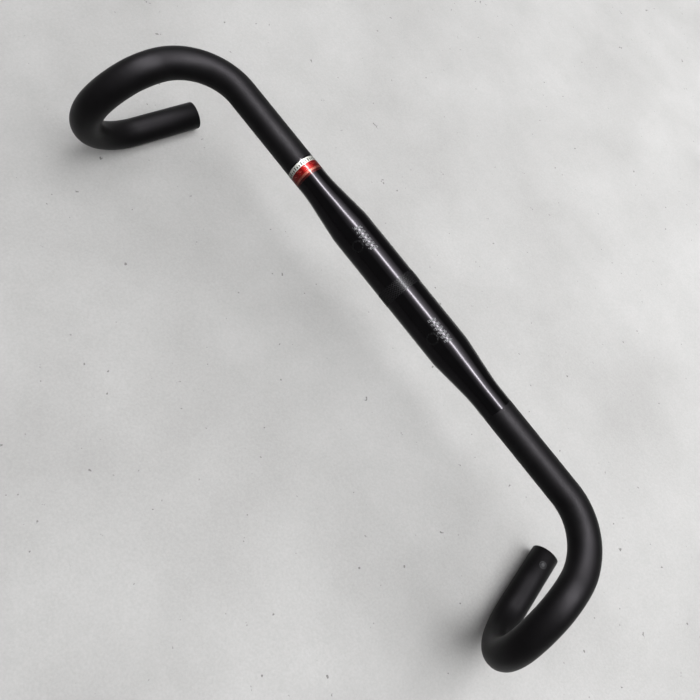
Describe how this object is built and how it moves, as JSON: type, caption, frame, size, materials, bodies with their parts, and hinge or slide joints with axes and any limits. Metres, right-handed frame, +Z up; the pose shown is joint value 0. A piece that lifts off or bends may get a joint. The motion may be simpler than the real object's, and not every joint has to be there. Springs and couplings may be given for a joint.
{
  "type": "drop handlebar",
  "caption": "Compact flared road drop handlebar: one bulged, tapered and bent black tube with open ends and thin printed marks on its clamp zone.",
  "frame": {"origin": "middle of the stem clamp zone, on the tube's axis", "axes": "+X to the rider's right along the clamp zone's axis, +Y forward, the way the bar reaches, +Z up; the tops and the drops are level"},
  "size_m": [0.5526, 0.1208, 0.1301],
  "materials": {
    "tube_black": "black: polished gloss over the middle, fine bead-blasted satin outside it",
    "ring_print": "fine hatched matt black print",
    "badge_print": "gloss black relief print",
    "silver_print": "silver print under clear coat",
    "red_print": "bright red print under clear coat",
    "pale_print": "pale print under clear coat",
    "dark_red_print": "dark red print under clear coat",
    "end_mark_print": "grey print"
  },
  "bodies": {
    "root": {"bar_tube": "tube_black", "centre_ring": "ring_print", "badge_right": "badge_print", "badge_left": "badge_print", "band_silver": "silver_print", "band_red": "red_print", "band_pale_stripe": "pale_print", "band_dark_edge": "dark_red_print", "end_mark": "end_mark_print"}
  },
  "joints": []
}
